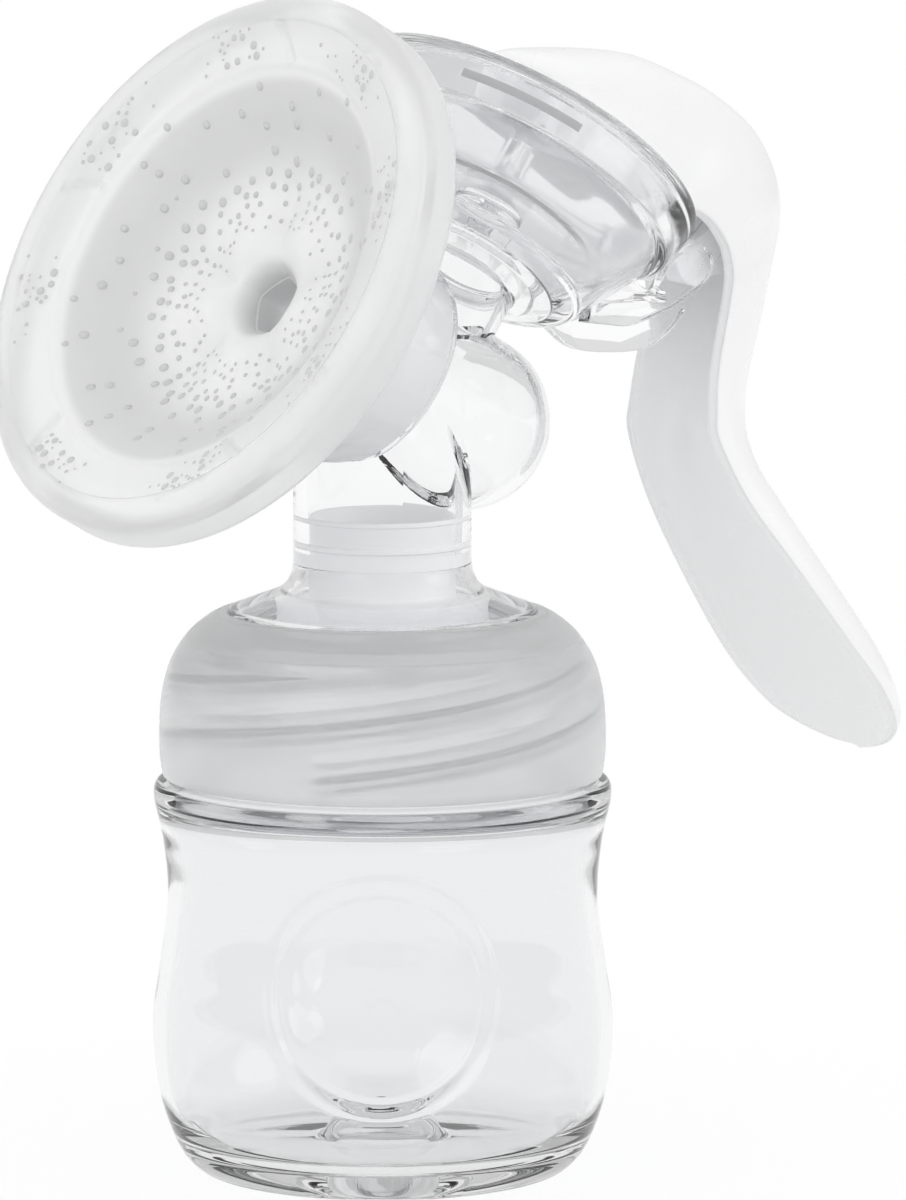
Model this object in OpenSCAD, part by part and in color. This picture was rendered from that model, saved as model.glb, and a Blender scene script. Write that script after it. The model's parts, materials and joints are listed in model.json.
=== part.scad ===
// Manual breast pump: bottle, screw ring, clear pump body with funnel and bowl,
// silicone massage cushion, diaphragm with stem, one-way valve and lever handle.
// Millimetres. +Z is up, the origin is the centre of the bottle's base, and XZ is the plane of
// symmetry: the funnel opens towards -X and the handle is on the +X side.

/* [Bottle] */
// Largest radius of the bottle, near its foot
belly_r = 32; // [30:0.5:34]
// Height of that largest radius
belly_z = 20.3; // [18:0.5:24]
// Radius of the flat the bottle stands on
base_r = 24; // [20:0.5:25]
// Radius of the waist a hand holds
waist_r = 29.8; // [28:0.2:30]
// Height of the waist
waist_z = 38; // [34:1:42]
// Radius of the rounded shoulder under the screw ring
shoulder_r = 31.7; // [31:0.1:33]
// Wall of the bottle
bottle_wall = 1.8; // [1.4:0.2:2.4]
// Thickness of the bottle's floor
bottle_floor = 4; // [3:0.5:6]

/* [Screw ring] */
// Outer radius of the ring at its lower edge
ring_r = 30.5; // [30:0.1:31.5]
// Radius of the opening that the pump body stands in
ring_opening_r = 21.3; // [21.3:0.1:22]
// Rise of the thread in one full turn
thread_lead = 21; // [18:1:21]

/* [Pump body] */
// Outer radius of the neck above the ring
neck_r = 12.3; // [12:0.1:12.8]
// Wall of the clear moulding
body_wall = 1.6; // [1.2:0.1:1.8]
// Tilt of the funnel above the horizontal
funnel_tilt = 28.35; // [26:0.5:31]
// Outer radius of the clear funnel at its mouth
funnel_r = 38.2; // [36:0.2:38.4]
// Tilt of the diaphragm bowl from the vertical
bowl_tilt = 36.56; // [34:0.5:38]
// Radius of the pin the handle clips to
pin_r = 1.5; // [1.2:0.1:1.8]

/* [Cushion and diaphragm] */
// Thickness of the silicone sheet
sheet = 1; // [0.8:0.1:1.4]
// Outer radius of the cushion's soft rim
cushion_r = 39.5; // [39.2:0.1:41]
// Outer radius of the diaphragm's rim
diaphragm_r = 26.8; // [26.4:0.1:27.6]

/* [Handle] */
// Half width of the handle over the bowl
head_half = 10.6; // [10.4:0.1:11.5]
// Half width of the handle at its narrow waist
grip_half = 8.7; // [7.8:0.1:9.2]
// Half width of the broad end that the palm pulls
paddle_half = 15.3; // [13.5:0.1:16.5]
// Wall of the handle shell
handle_wall = 2; // [1.6:0.1:2.4]

/* [Hidden] */
$fn = 96;
tiny = 0.01;

// Heights on the bottle's axis
ring_bottom_z = 55;
ring_top_z = 77.2;
flange_z = 73.1;
flange_top_z = 74.9;
shoulder_corner_z = 78.4;
neck_bore_r = neck_r - 2;
neck_top_z = 110.9;
valve_top_z = 91;

// Centre of the funnel's mouth and of the bowl's rim
funnel_x = -29.6;
funnel_z = 126.9;
bowl_x = 26.5;
bowl_z = 141.6;

// Distances along the funnel axis, from the mouth inwards
socket_start = 19.6;
socket_end = 31.6;
socket_r = 16;
chamber_r = neck_r + 0.2;
chamber_end = 50;

// Radii and heights of the bowl, from the plane of the diaphragm's rim
bowl_lip_r = 24.9;
bowl_lip_h = -1.3;
skirt_h = -6.8;
bowl_floor_r = 18;
bowl_floor_h = -19.2;
bowl_depth = 21.9;

// Pivot of the handle, in the bowl's own frame (away from the funnel, above the rim plane)
pivot_u = 32.4;
pivot_h = 1.4;
pivot_x = bowl_x + pivot_u * cos(bowl_tilt) + pivot_h * sin(bowl_tilt);
pivot_z = bowl_z - pivot_u * sin(bowl_tilt) + pivot_h * cos(bowl_tilt);
lug_half = 5.1;
ear_in = 5.4;
ear_out = 7.8;
bore_play = 0.05;

// Cross bar on the stem and the fork in the handle that lifts it
stem_r = 2;
bar_r = 1.6;
bar_h = 5.9;
fork_top = 4.2;
fork_half_gap = 2.6;

// ---- curve helpers ----

// Catmull-Rom curve through the points, with the end points kept
function through(p, steps = 5) = concat(
    [for (i = [0 : len(p) - 2], k = [0 : steps - 1])
        spline_point(p[max(i - 1, 0)], p[i], p[i + 1], p[min(i + 2, len(p) - 1)], k / steps)],
    [p[len(p) - 1]]
);

function spline_point(a, b, c, d, t) =
    0.5 * (2 * b + (c - a) * t + (2 * a - 5 * b + 4 * c - d) * t * t + (3 * b - a - 3 * c + d) * t * t * t);

// The same curve moved sideways by a distance that grows evenly from d0 to d1
function beside(p, d0, d1) = [
    for (i = [0 : len(p) - 1])
        let (
            along = p[min(i + 1, len(p) - 1)] - p[max(i - 1, 0)],
            side = [along[1], -along[0]] / norm(along),
            share = i / (len(p) - 1)
        )
        p[i] + side * (d0 + (d1 - d0) * share)
];

function backwards(p) = [for (i = [len(p) - 1 : -1 : 0]) p[i]];

function arc(centre, r, from, to, steps = 12) = [
    for (i = [0 : steps])
        let (a = from + (to - from) * i / steps)
        centre + r * [cos(a), sin(a)]
];

// ---- frames ----

module on_funnel() translate([funnel_x, 0, funnel_z]) rotate([0, 90 + funnel_tilt, 0]) children();

module on_bowl() translate([bowl_x, 0, bowl_z]) rotate([0, bowl_tilt, 0]) children();

// A flat shape drawn in the XZ plane, given thickness along Y and centred on it
module across(width) rotate([90, 0, 0]) translate([0, 0, -width / 2]) linear_extrude(width) children();

module turned(points) rotate_extrude() polygon(points);

// ---- bottle ----

bottle_side = through([
    [base_r + 2.2, 0.6],
    [belly_r - 3.2, 4],
    [belly_r - 0.9, 11],
    [belly_r, belly_z],
    [belly_r - 1, belly_z + 8],
    [waist_r, waist_z],
    [waist_r + 0.6, waist_z + 8],
    [shoulder_r - 0.2, 51],
    [shoulder_r, 53],
    [shoulder_r - 0.5, 54.3],
    [shoulder_r - 2, 54.7]
]);
bottle_neck_r = 24.8;
thread_r = 26.3;
thread_height = 1.6;
thread_span = 100;
thread_step = 20;
boss_r = 8.4;
boss_h = 5.2;

// Coarse thread ribs: short arcs that climb with the lead, on three starts
module thread_ribs(inner_r, outer_r, z0, first_angle)
    for (start = [0 : 2], i = [0 : thread_span / thread_step - 1])
        rotate([0, 0, first_angle + 120 * start + i * thread_step])
            translate([0, 0, z0 + thread_lead * i * thread_step / 360])
                rotate_extrude(angle = thread_step + tiny)
                    polygon([
                        [inner_r, 0],
                        [outer_r, 0.3],
                        [outer_r, thread_height - 0.3],
                        [inner_r, thread_height]
                    ]);

module bottle() color([0.90, 0.92, 0.93, 0.4]) {
    // The floor is pushed up in the middle
    difference() {
        union() {
            turned(concat(
                [[0, 5.4], [4.6, 5], [6.2, 3], [7.4, 0], [base_r, 0]],
                bottle_side,
                [[bottle_neck_r, 54.8], [bottle_neck_r, flange_z - 0.1], [0, flange_z - 0.1]]
            ));
            thread_ribs(bottle_neck_r - 0.3, thread_r, 60, 0);
        }
        turned([
            [0, bottle_floor + boss_h],
            [boss_r - 3.2, bottle_floor + boss_h - 0.4],
            [boss_r - 1.4, bottle_floor + 2.6],
            [boss_r, bottle_floor],
            [belly_r - 7, bottle_floor],
            [belly_r - 4, bottle_floor + 2],
            [belly_r - bottle_wall - 0.4, 13],
            [belly_r - bottle_wall, belly_z],
            [belly_r - bottle_wall - 1, belly_z + 8],
            [waist_r - bottle_wall, waist_z],
            [waist_r - bottle_wall + 0.6, waist_z + 8],
            [shoulder_r - bottle_wall - 0.4, 51],
            [bottle_neck_r - 1.8, 54.6],
            [bottle_neck_r - 1.8, flange_z + 1],
            [0, flange_z + 1]
        ]);
    }
}

// ---- screw ring ----

ring_bore_r = 27.2;
ring_outside = through([
    [ring_r, ring_bottom_z + 0.4],
    [ring_r + 0.4, 60],
    [ring_r + 0.1, 66],
    [ring_r - 1.6, 71],
    [ring_r - 4.6, 74.9],
    [ring_opening_r + 1.4, ring_top_z - 0.2]
]);

module screw_ring() color([0.86, 0.87, 0.87]) {
    turned(concat(
        [[ring_bore_r, ring_bottom_z], [ring_r - 0.4, ring_bottom_z]],
        ring_outside,
        [
            [ring_opening_r + 0.3, ring_top_z],
            [ring_opening_r, ring_top_z - 0.4],
            [ring_opening_r, flange_top_z + 0.1],
            [25.8, flange_top_z + 0.1],
            [25.8, flange_z - 0.4],
            [ring_bore_r, flange_z - 2]
        ]
    ));
    thread_ribs(ring_bore_r + 0.3, thread_r - 0.9, 57.5, 0);
}

// ---- pump body ----

socket_bore_r = socket_r - 0.95;
throat_r = socket_r + 0.2;
cone_slope = (funnel_r - throat_r) / (socket_start - 1.2);
cone_wall = body_wall * sqrt(1 + cone_slope * cone_slope);
cone_inner_end = socket_start - (socket_bore_r + cone_wall - throat_r) / cone_slope;

module funnel_outside() turned(concat(
    [[0, 0.2], [funnel_r, 0.2], [funnel_r, 1.2], [throat_r, socket_start]],
    [[socket_r, socket_start + 1.2], [socket_r, socket_end], [chamber_r, socket_end + 2]],
    arc([0, chamber_end], chamber_r, 0, 90)
));

module funnel_inside() turned(concat(
    [[0, -1], [funnel_r - body_wall, -1], [funnel_r - body_wall, 0.2], [funnel_r - cone_wall, 1.2]],
    [[socket_bore_r, cone_inner_end], [socket_bore_r, socket_end], [chamber_r - 1.5, socket_end]],
    arc([0, chamber_end], chamber_r - 1.5, 0, 90)
));

module neck_outside() turned([
    [0, flange_z],
    [25.4, flange_z],
    [25.4, flange_top_z],
    [ring_opening_r - 0.1, flange_top_z],
    [ring_opening_r - 0.1, shoulder_corner_z - 0.5],
    [ring_opening_r - 0.6, shoulder_corner_z],
    [neck_r + 1.7, 80.9],
    [neck_r + 0.6, 82.2],
    [neck_r, 84.6],
    [neck_r, neck_top_z],
    [0, neck_top_z]
]);

module neck_inside() turned([
    [0, flange_z - 1],
    [19.6, flange_z - 1],
    [19.6, 76.9],
    [15, 79.2],
    [neck_bore_r, 79.2],
    [neck_bore_r, neck_top_z],
    [0, neck_top_z]
]);

module bowl_outside() {
    turned([
        [0, -bowl_depth],
        [12, -bowl_depth],
        [15.8, -bowl_depth + 0.8],
        [bowl_floor_r, bowl_floor_h],
        [23.3, -9],
        [bowl_lip_r, -7.2],
        [bowl_lip_r, bowl_lip_h],
        [0, bowl_lip_h]
    ]);
    // Air passage down to the chamber behind the funnel
    translate([0, 0, -bowl_depth - 14]) cylinder(h = 15, r = 9);
}

module bowl_inside() {
    turned([
        [0, -bowl_depth + body_wall],
        [11.6, -bowl_depth + body_wall],
        [14.6, -bowl_depth + body_wall + 0.6],
        [bowl_floor_r - 1.5, bowl_floor_h + 0.6],
        [21.7, -9.2],
        [bowl_lip_r - body_wall, -7],
        [bowl_lip_r - body_wall, 1],
        [0, 1]
    ]);
    translate([0, 0, -bowl_depth - 13]) cylinder(h = 15, r = 7.4);
}

// Side view of one ear of the handle clip, in the bowl's frame
module ear_shape() union() {
    polygon([
        [18, -15],
        [21.8, -8],
        [diaphragm_r + 0.6, -7.4],
        [diaphragm_r + 0.6, -1.5],
        [pivot_u - 1.8, pivot_h + 2.4],
        [pivot_u + 2.4, pivot_h - 1.8],
        [pivot_u - 0.6, -6.6],
        [pivot_u - 6, -13.5],
        [19, -17.5]
    ]);
    translate([pivot_u, pivot_h]) circle(r = 3);
}

module clip() on_bowl() {
    for (side = [-1, 1])
        translate([0, side * (ear_in + ear_out) / 2, 0]) across(ear_out - ear_in) ear_shape();
    // Floor of the clip, joining the two ears
    across(2 * ear_out) polygon([
        [18, -15],
        [21.8, -8],
        [diaphragm_r + 0.6, -7.4],
        [pivot_u - 2.6, -5],
        [pivot_u - 1.2, -6.2],
        [22, -12.4]
    ]);
    translate([pivot_u, 0, pivot_h]) rotate([90, 0, 0]) cylinder(h = 2 * ear_out, r = pin_r, center = true);
}

// Thin curved guard under the clip
module guard() on_bowl() across(2) polygon(concat(
    [[17, -17.5]],
    through([[18.5, -18.9], [24.4, -18.7], [30, -15.9], [36, -11.4], [38.6, -7], [39.4, -2.6]]),
    [[37.6, -3.4], [33, -5.6], [25, -9.5], [20, -12]]
));

module pump_body() color([0.92, 0.94, 0.95, 0.35]) difference() {
    union() {
        neck_outside();
        on_funnel() funnel_outside();
        on_bowl() bowl_outside();
        clip();
        guard();
    }
    neck_inside();
    on_funnel() funnel_inside();
    on_bowl() bowl_inside();
}

// ---- one-way valve ----

lip_root_x = 6;
lip_root_z = 71;
lip_tip_z = 60;

module valve_body() color([0.96, 0.96, 0.96]) difference() {
    turned([
        [0, lip_root_z + 0.2],
        [8.4, lip_root_z + 0.2],
        [8.6, 76.2],
        [14.8, 76.2],
        [14.8, 79.1],
        [neck_bore_r - 0.2, 79.1],
        [neck_bore_r - 0.2, 86.5],
        [neck_bore_r - 0.02, 86.8],
        [neck_bore_r - 0.02, 87.4],
        [neck_bore_r - 0.2, 87.7],
        [neck_bore_r - 0.2, 90.3],
        [neck_bore_r - 0.02, 90.5],
        [neck_bore_r - 0.02, valve_top_z],
        [0, valve_top_z]
    ]);
    turned([
        [0, lip_root_z],
        [7, lip_root_z],
        [7, 79],
        [neck_bore_r - 1.4, 82],
        [neck_bore_r - 1.4, valve_top_z - 2],
        [neck_bore_r - 0.7, valve_top_z + 1],
        [0, valve_top_z + 1]
    ]);
}

// One flat lip of the duckbill, sloping from its root to the slit
module valve_lip(side) across(13) polygon([
    [side * (lip_root_x + 1.6), lip_root_z],
    [side * lip_root_x, lip_root_z],
    [side * 0.1, lip_tip_z],
    [side * 1.1, lip_tip_z]
]);

module valve_lip_left() color([0.96, 0.96, 0.96]) valve_lip(-1);

module valve_lip_right() color([0.96, 0.96, 0.96]) valve_lip(1);

// ---- massage cushion, as (radius, distance along the funnel axis) ----

cone_face = through([[35.4, -3.1], [31, -1.5], [28, 0], [25, 2.2], [22, 4.7], [19, 6.4], [17.4, 7]], 4);
petal_face = through([[15.8, 7.7], [12.4, 8.5], [9.2, 8.5], [6, 9.5], [4.5, 12], [5.3, 16], [7.2, 19]], 4);

module cushion_rim() color([0.93, 0.94, 0.94]) on_funnel() turned(concat(
    backwards(cone_face),
    arc([cushion_r - 2.4, -1.6], 2.4, 225, 360, 8),
    [[cushion_r, 3.8], [cushion_r - 0.5, 4.4], [cushion_r - 1.1, 3.8], [cushion_r - 1.1, -0.2]],
    [[35.6, -0.4]],
    beside(cone_face, sheet, sheet)
));

module cushion_petals() color([0.93, 0.94, 0.94]) on_funnel() turned(concat(
    petal_face,
    backwards(beside(petal_face, sheet, sheet))
));

module cushion_sleeve() color([0.93, 0.94, 0.94]) on_funnel() turned([
    [10.5, 24],
    [11, 22.8],
    [14, 22.8],
    [socket_bore_r - 0.15, 23.8],
    [socket_bore_r - 0.15, socket_end - 0.2],
    [10.5, socket_end - 0.2]
]);

// ---- diaphragm, as (radius, height above the rim plane) ----

membrane_low = through([[22.8, -6.6], [20.8, -10.4], [19, -12.3], [16.5, -13], [13, -12.3], [8, -11.3]], 4);

module diaphragm_rim() color([0.90, 0.92, 0.93, 0.5]) on_bowl() difference() {
    turned([
        [bowl_lip_r - body_wall - 1.4, -6],
        [bowl_lip_r - body_wall - 1.4, -0.6],
        [bowl_lip_r - body_wall - 0.8, 0],
        [diaphragm_r - 0.5, 0],
        [diaphragm_r, -0.5],
        [diaphragm_r - 1.6, skirt_h],
        [bowl_lip_r + 0.1, skirt_h],
        [bowl_lip_r + 0.1, bowl_lip_h + 0.1],
        [bowl_lip_r - body_wall - 0.1, bowl_lip_h + 0.1],
        [bowl_lip_r - body_wall - 0.1, -6]
    ]);
    // Shallow finger slots on both sides of the skirt
    for (side = [-1, 1])
        rotate([0, 0, side * 135 - 20]) rotate_extrude(angle = 40)
            polygon([[25.6, -4.7], [28, -4.7], [28, -3.3], [25.9, -3.3]]);
}

module diaphragm_membrane() color([0.90, 0.92, 0.93, 0.4]) on_bowl() turned(concat(
    membrane_low,
    [[stem_r + 0.1, -11.2], [stem_r + 0.1, -11.2 + sheet]],
    backwards(beside(membrane_low, sheet, sheet))
));

module diaphragm_stem() color([0.90, 0.92, 0.94, 0.5]) on_bowl() {
    translate([0, 0, -12.5]) cylinder(h = 1.2, r = 5);
    translate([0, 0, -12]) cylinder(h = bar_h + 12, r = stem_r - 0.4);
    translate([0, 0, -11.2 + sheet]) cylinder(h = 3, r1 = 4, r2 = 1.8);
    // Cross ribs that stiffen the stem
    for (turn = [45, 135])
        rotate([0, 0, turn]) translate([-2.3, -0.6, -10.2]) cube([4.6, 1.2, 11]);
    translate([0, 0, bar_h]) rotate([90, 0, 0]) cylinder(h = 13, r = bar_r, center = true);
}

// ---- handle ----

handle_back = through([
    [20, 149.8],
    [21.5, 153.4],
    [27, 154.4],
    [42.8, 153.4],
    [53.2, 150.2],
    [61.5, 146.4],
    [68.6, 140.6],
    [72.3, 131.4],
    [69.5, 117],
    [64.9, 105.5],
    [64.4, 98],
    [69.4, 89.3],
    [83.2, 71.2],
    [92.4, 58],
    [95.9, 52.4],
    [96.3, 50.4],
    [95, 49.3],
    [92.9, 49.2]
], 4);
// From the arch over the clip down to the tip
handle_rim = through([
    [46.5, 132],
    [50, 131.3],
    [53.2, 129],
    [56, 125.7],
    [57.5, 122],
    [57.9, 118.6],
    [57, 113.6],
    [55.6, 107.6],
    [54.9, 102],
    [55, 98.2],
    [59.5, 89.4],
    [66.4, 80.2],
    [75.9, 68.3],
    [81.8, 61.4],
    [88, 54.2],
    [91.5, 50.8],
    [92.6, 49.7]
], 4);
skirt_gap = 2.2;
skirt_front = [bowl_x - 8 * cos(bowl_tilt) + skirt_gap * sin(bowl_tilt),
               bowl_z + 8 * sin(bowl_tilt) + skirt_gap * cos(bowl_tilt)];
skirt_back = [bowl_x + 19 * cos(bowl_tilt) + skirt_gap * sin(bowl_tilt),
              bowl_z - 19 * sin(bowl_tilt) + skirt_gap * cos(bowl_tilt)];

// Half width of the handle at each height
handle_widths = through([
    [head_half - 0.6, 156],
    [head_half, 150],
    [head_half, 128],
    [grip_half + 1.2, 122],
    [grip_half + 0.3, 118.6],
    [grip_half, 112],
    [grip_half + 0.1, 107],
    [grip_half + 1, 98.2],
    [grip_half + 2.3, 89.4],
    [paddle_half - 2.3, 80.2],
    [paddle_half - 0.5, 68.3],
    [paddle_half, 61.4],
    [paddle_half - 1, 57],
    [paddle_half - 2.7, 54.2],
    [10, 52.2],
    [7, 50.8],
    [4, 49.8],
    [1.5, 49.2]
], 4);

// The hollow stops short of the round tip
hollow_end_z = 57;

module handle_side() polygon(concat(handle_back, backwards(handle_rim), [skirt_back, skirt_front]));

module handle_front(less) polygon(concat(
    [for (p = handle_widths) [max(p[0] - less, 0.1), p[1]]],
    backwards([for (p = handle_widths) [-max(p[0] - less, 0.1), p[1]]])
));

// The front view is drawn in YZ and runs along X
module along_x(from, to) translate([from, 0, 0]) rotate([90, 0, 90]) linear_extrude(to - from) children();

module handle_shell() difference() {
    intersection() {
        across(40) handle_side();
        along_x(10, 110) handle_front(0);
        translate([0, 0, 40]) linear_extrude(120) union() {
            translate([skirt_front[0] + head_half - 0.6, 0]) circle(r = head_half + 0.2);
            translate([skirt_front[0] + head_half - 0.6, -20]) square([90, 40]);
        }
    }
    // Hollow inside, deep over the bowl and shallow in the paddle
    intersection() {
        across(40) polygon(concat(
            beside([for (p = handle_back) if (p[1] > hollow_end_z) p], handle_wall, 4.6),
            [[60, 40], [0, 110], [0, 149.8]]
        ));
        along_x(10, 110) handle_front(handle_wall);
        translate([0, 0, 40]) linear_extrude(120) union() {
            translate([skirt_front[0] + head_half - 0.6, 0]) circle(r = head_half - handle_wall);
            translate([skirt_front[0] + head_half - 0.6, -20]) square([90, 40]);
        }
    }
}

// Two ribs and a round lug that snap over the pin of the clip
module handle_lug() difference() {
    union() {
        translate([pivot_x, 0, pivot_z]) rotate([90, 0, 0]) cylinder(h = 2 * lug_half, r = 3.3, center = true);
        for (side = [-1, 1])
            translate([0, side * (lug_half - 0.8), 0]) across(1.6) polygon([
                [pivot_x, pivot_z - 3.2],
                [69, pivot_z - 1],
                [69, pivot_z + 9],
                [pivot_x, pivot_z + 3.2]
            ]);
    }
    translate([pivot_x, 0, pivot_z]) rotate([90, 0, 0])
        cylinder(h = 2 * lug_half + 2, r = pin_r + bore_play, center = true);
    // Mouth of the snap
    translate([pivot_x, 0, pivot_z]) rotate([0, 215, 0]) translate([-1.3, -lug_half - 1, 0])
        cube([2.6, 2 * lug_half + 2, 8]);
}

// Slotted shelf under the stem's cross bar
module handle_fork() on_bowl() difference() {
    translate([-6, -head_half + 1, fork_top - 1.6]) cube([13, 2 * head_half - 2, 1.6]);
    translate([-7, -fork_half_gap, fork_top - 3]) cube([10.4, 2 * fork_half_gap, 5]);
}

module handle() color([0.97, 0.97, 0.97]) {
    handle_shell();
    handle_lug();
    handle_fork();
}

bottle();
screw_ring();
pump_body();
valve_body();
valve_lip_left();
valve_lip_right();
cushion_rim();
cushion_petals();
cushion_sleeve();
diaphragm_rim();
diaphragm_membrane();
diaphragm_stem();
handle();
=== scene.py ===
"""Looks of the manual breast pump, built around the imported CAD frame.

Every visible piece is made here from smooth profiles and lofts in the CAD's own frame: the bottle
stands on z = 0 with its axis on Z, the funnel opens towards -X and the handle is on the +X side.
Profiles are in millimetres and are scaled to metres when a mesh is made.
"""

import json
import math
import random
from math import radians

import bmesh
import bpy
from mathutils import Matrix, Vector


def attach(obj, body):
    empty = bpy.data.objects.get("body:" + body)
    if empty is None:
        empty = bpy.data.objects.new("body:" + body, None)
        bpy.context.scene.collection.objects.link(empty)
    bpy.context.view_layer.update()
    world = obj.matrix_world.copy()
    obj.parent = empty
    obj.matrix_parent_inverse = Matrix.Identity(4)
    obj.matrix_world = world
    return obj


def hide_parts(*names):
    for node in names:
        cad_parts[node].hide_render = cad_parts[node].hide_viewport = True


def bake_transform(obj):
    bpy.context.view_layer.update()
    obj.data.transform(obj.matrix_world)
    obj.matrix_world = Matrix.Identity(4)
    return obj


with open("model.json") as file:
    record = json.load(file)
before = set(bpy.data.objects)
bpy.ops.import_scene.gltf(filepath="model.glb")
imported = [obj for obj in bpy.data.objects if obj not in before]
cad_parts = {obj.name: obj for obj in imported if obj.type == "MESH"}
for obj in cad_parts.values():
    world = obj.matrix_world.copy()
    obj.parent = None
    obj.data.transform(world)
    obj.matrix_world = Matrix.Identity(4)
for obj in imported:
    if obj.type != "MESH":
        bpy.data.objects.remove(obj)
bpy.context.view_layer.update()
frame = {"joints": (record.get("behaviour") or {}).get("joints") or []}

MM = 0.001


# ---- frames of the CAD model ----

JOINTS = {joint["name"]: joint for joint in frame["joints"]}
# Centres of the funnel's mouth and of the bowl's rim
FUNNEL_CENTRE = (-29.6, 0, 126.9)
BOWL_CENTRE = (26.5, 0, 141.6)
# The lobes flex along the funnel's axis, into it, and the stem lifts along the bowl's axis, out of it
FUNNEL_AXIS = Vector(JOINTS["petal_flex"]["axis"])
BOWL_AXIS = Vector(JOINTS["stem_lift"]["axis"])
# Centre of the pin that the handle turns on
PIVOT = Vector(JOINTS["handle_squeeze"]["pos_m"]) / MM

UPRIGHT = Matrix.Scale(MM, 4)
LAID_DOWN = Matrix.Rotation(radians(90), 4, "X")


def leaning(centre, axis):
    """The frame at a centre whose Z axis runs along an axis in the XZ plane."""
    return UPRIGHT @ Matrix.Translation(centre) @ Matrix.Rotation(math.atan2(axis.x, axis.z), 4, "Y")


ON_FUNNEL = leaning(FUNNEL_CENTRE, FUNNEL_AXIS)
ON_BOWL = leaning(BOWL_CENTRE, BOWL_AXIS)


# ---- curves ----


def curve(points, steps=8):
    """Catmull-Rom curve through points of any dimension."""
    points = [Vector(p) for p in points]
    out = []
    for i in range(len(points) - 1):
        a, b = points[max(i - 1, 0)], points[i]
        c, d = points[i + 1], points[min(i + 2, len(points) - 1)]
        square = 2 * a - 5 * b + 4 * c - d
        cube = 3 * b - a - 3 * c + d
        for k in range(steps):
            t = k / steps
            out.append(0.5 * (2 * b + (c - a) * t + square * t * t + cube * t ** 3))
    out.append(points[-1])
    return out


def lengths_along(points):
    """Distance of each point from the first one, along the polyline."""
    lengths = [0]
    for a, b in zip(points, points[1:]):
        lengths.append(lengths[-1] + (b - a).length)
    return lengths


def even(points, gap):
    """The same polyline with points about gap apart."""
    points = [Vector(p) for p in points]
    lengths = lengths_along(points)
    count = max(1, round(lengths[-1] / gap))
    out, j = [], 0
    for i in range(count + 1):
        at = lengths[-1] * i / count
        while j < len(points) - 2 and lengths[j + 1] < at:
            j += 1
        span = lengths[j + 1] - lengths[j] or 1
        out.append(points[j].lerp(points[j + 1], min(1, (at - lengths[j]) / span)))
    return out


def part_way(points, share):
    """The point at a share of the polyline's length."""
    lengths = lengths_along(points)
    at = lengths[-1] * share
    for j in range(len(points) - 1):
        if lengths[j + 1] >= at - 1e-9:
            span = lengths[j + 1] - lengths[j] or 1
            return points[j].lerp(points[j + 1], (at - lengths[j]) / span)
    return points[-1]


def soft(points, steps=4):
    """A profile whose corners given as (x, y, cut) are rounded off, starting cut before the corner."""
    out = []
    count = len(points)
    for i, p in enumerate(points):
        here = Vector(p[:2])
        cut = p[2] if len(p) > 2 else 0
        if not cut:
            out.append(here)
            continue
        before = Vector(points[i - 1][:2])
        after = Vector(points[(i + 1) % count][:2])
        a = here + (before - here).normalized() * min(cut, (before - here).length * 0.49)
        b = here + (after - here).normalized() * min(cut, (after - here).length * 0.49)
        for k in range(steps + 1):
            t = k / steps
            out.append(a * (1 - t) ** 2 + here * 2 * t * (1 - t) + b * t * t)
    return out


def beside(points, distance):
    """The curve moved sideways, to the right of its direction of travel."""
    out = []
    for i, p in enumerate(points):
        along = (points[min(i + 1, len(points) - 1)] - points[max(i - 1, 0)]).normalized()
        out.append(p + Vector((along.y, -along.x)) * distance)
    return out


def smooth(low, high, x):
    """0 below low, 1 above high, and an S-curve in between."""
    t = min(1, max(0, (x - low) / (high - low)))
    return t * t * (3 - 2 * t)


def bump(centre, half, x):
    """1 at the centre, falling smoothly to 0 at half the width away."""
    return 1 - smooth(0, half, abs(x - centre))


def turn_gap(a, b):
    """Signed difference between two angles, in degrees."""
    return (a - b + 180) % 360 - 180


# ---- meshes ----


def clean(bm):
    """Welds the points that coincide and turns the faces outwards."""
    bmesh.ops.remove_doubles(bm, verts=bm.verts, dist=1e-7)
    bmesh.ops.recalc_face_normals(bm, faces=bm.faces)
    return bm


def piece(name, bm, material, sharp=38):
    """An object made from the bmesh, smooth but for edges sharper than the given angle."""
    clean(bm)
    mesh = bpy.data.meshes.new(name)
    bm.to_mesh(mesh)
    bm.free()
    mesh.shade_smooth()
    mesh.set_sharp_from_angle(angle=radians(sharp))
    obj = bpy.data.objects.new(name, mesh)
    bpy.context.scene.collection.objects.link(obj)
    if material:
        mesh.materials.append(material)
    return obj


def turned(profile, place=UPRIGHT, columns=180, relief=None):
    """A bmesh: the closed profile of (radius, height) turned about the local Z axis.

    columns is a number or a list of angles in degrees. relief(r, z, angle, row) returns the moved (r, z).
    """
    angles = columns if isinstance(columns, list) else [360 * i / columns for i in range(columns)]
    rows = [Vector(p) for p in profile]
    verts, faces = [], []
    for a in angles:
        c, s = math.cos(radians(a)), math.sin(radians(a))
        for row, (r, z) in enumerate(rows):
            if relief:
                r, z = relief(r, z, a, row)
            verts.append(place @ Vector((r * c, r * s, z)))
    n, m = len(rows), len(angles)
    open_ends = abs(rows[0].x) < 1e-6 and abs(rows[-1].x) < 1e-6
    for i in range(m):
        for j in range(n - 1 if open_ends else n):
            k = (j + 1) % n
            faces.append((i * n + j, ((i + 1) % m) * n + j, ((i + 1) % m) * n + k, i * n + k))
    mesh = bpy.data.meshes.new("turned")
    mesh.from_pydata(verts, [], faces)
    bm = bmesh.new()
    bm.from_mesh(mesh)
    bpy.data.meshes.remove(mesh)
    return clean(bm)


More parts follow.
